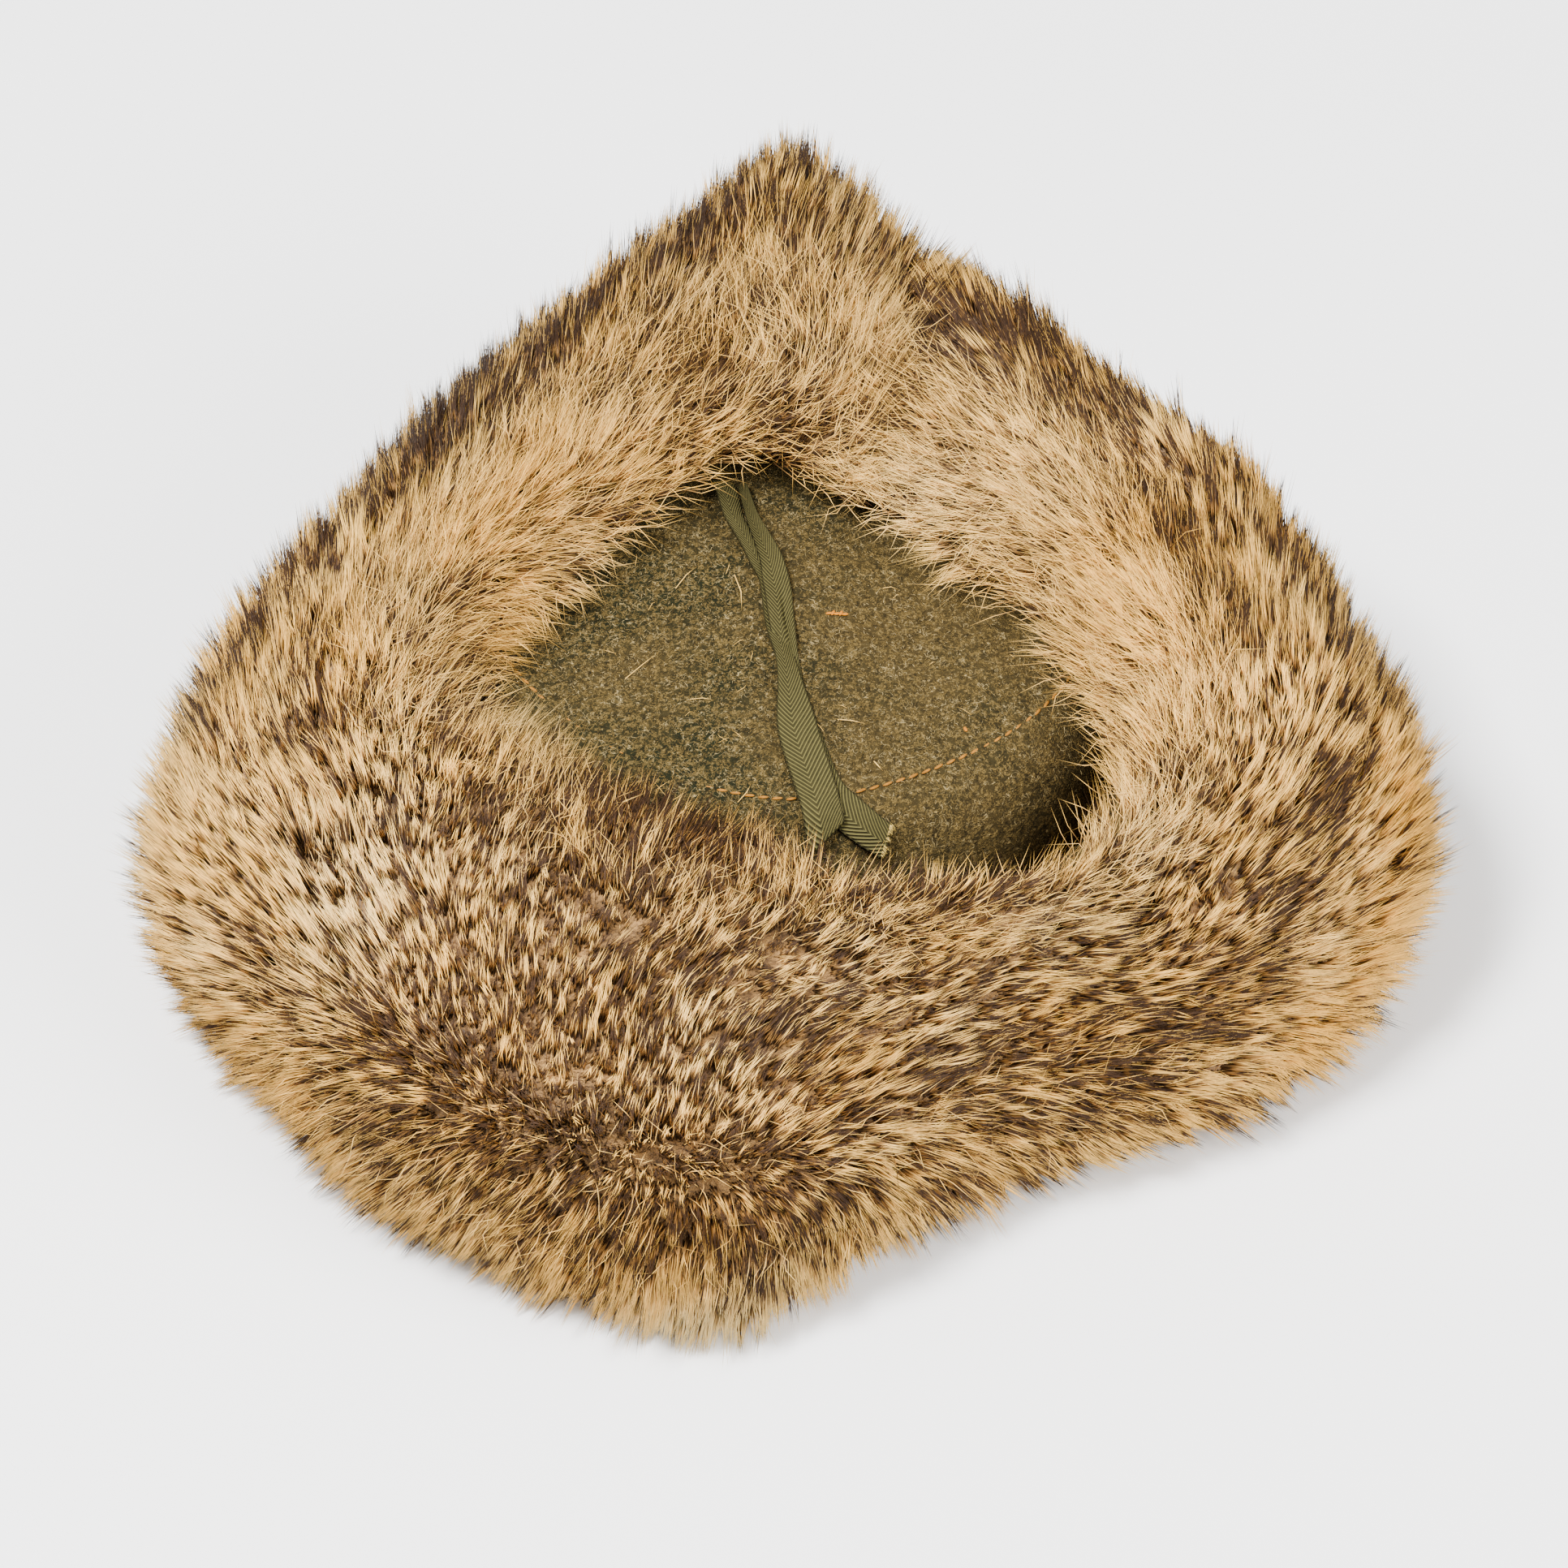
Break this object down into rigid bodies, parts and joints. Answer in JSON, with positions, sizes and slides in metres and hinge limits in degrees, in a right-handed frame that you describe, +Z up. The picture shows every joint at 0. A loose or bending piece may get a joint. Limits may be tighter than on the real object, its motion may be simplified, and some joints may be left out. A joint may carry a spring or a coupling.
{
  "type": "fur cap with ear flaps",
  "caption": "Winter cap with a felted wool crown, a turned-up fur front flap and fur ear flaps folded over the crown and tied with tapes.",
  "frame": {"origin": "on the ground under the middle of the whole cap", "axes": "+Z up, -Y towards the forehead, +X towards the wearer's left"},
  "size_m": [0.3238, 0.2878, 0.148],
  "materials": {
    "wool": "mottled olive felted wool cloth",
    "fur": "dense rabbit fur, banded cream, tan and dark brown",
    "tape": "olive herringbone cotton tape",
    "thread": "faded orange sewing thread"
  },
  "bodies": {
    "root": {"crown_side_band": "wool", "crown_top_panel": "wool", "right_ear_flap": "fur", "left_ear_flap": "fur", "front_flap": "fur", "left_tie_tape": "tape", "right_tie_tape": "tape"}
  },
  "joints": []
}
